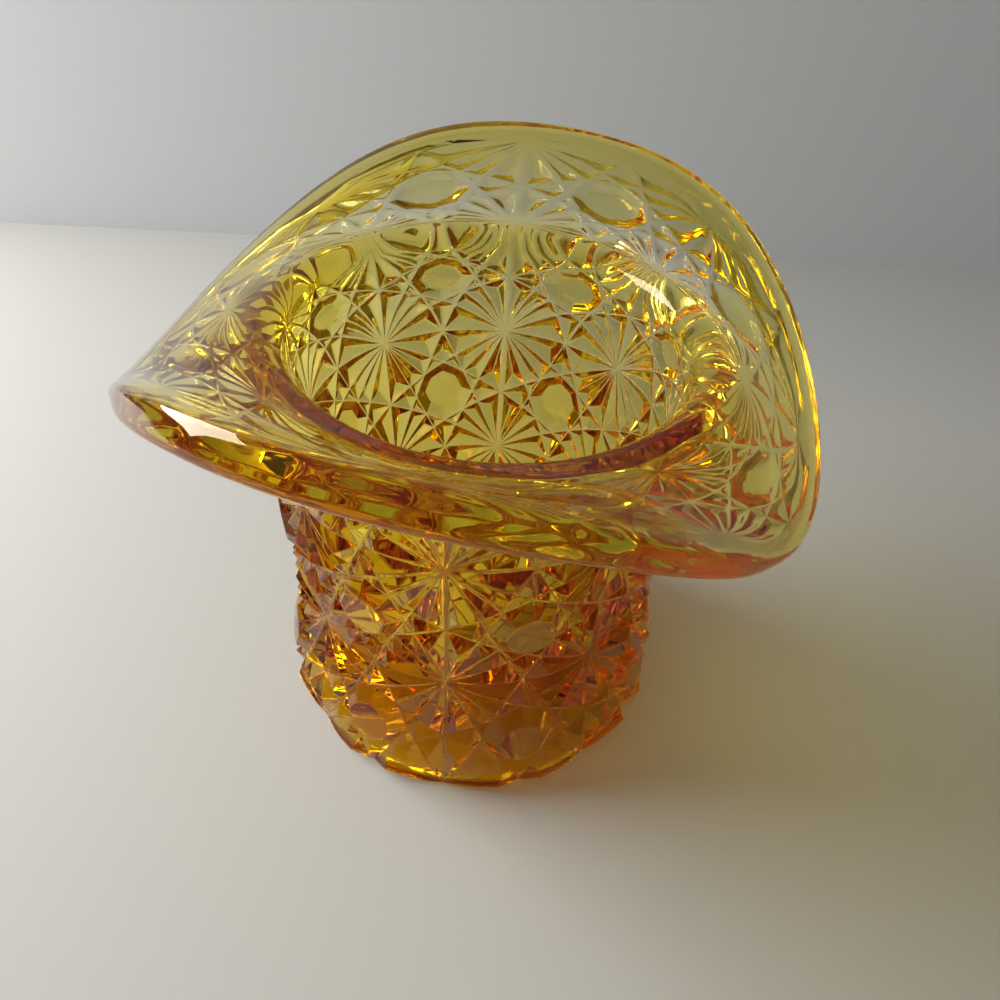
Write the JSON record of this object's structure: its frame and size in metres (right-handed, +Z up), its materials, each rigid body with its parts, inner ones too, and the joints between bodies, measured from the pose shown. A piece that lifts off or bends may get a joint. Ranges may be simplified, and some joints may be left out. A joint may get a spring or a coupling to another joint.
{
  "type": "pressed glass hat",
  "caption": "Small pressed-glass top hat vase that stands on its crown, with a daisy-and-button relief and a hand-curled brim.",
  "frame": {"origin": "centre of the flat base, which is the top of the hat's crown", "axes": "+Z up through the open mouth, X along the two drooping tips of the brim, Y along its two raised sides"},
  "size_m": [0.0798, 0.0797, 0.0638],
  "materials": {
    "amber_glass": "pressed and fire-polished amber soda-lime glass"
  },
  "bodies": {
    "root": {"glass_hat": "amber_glass"}
  },
  "joints": []
}
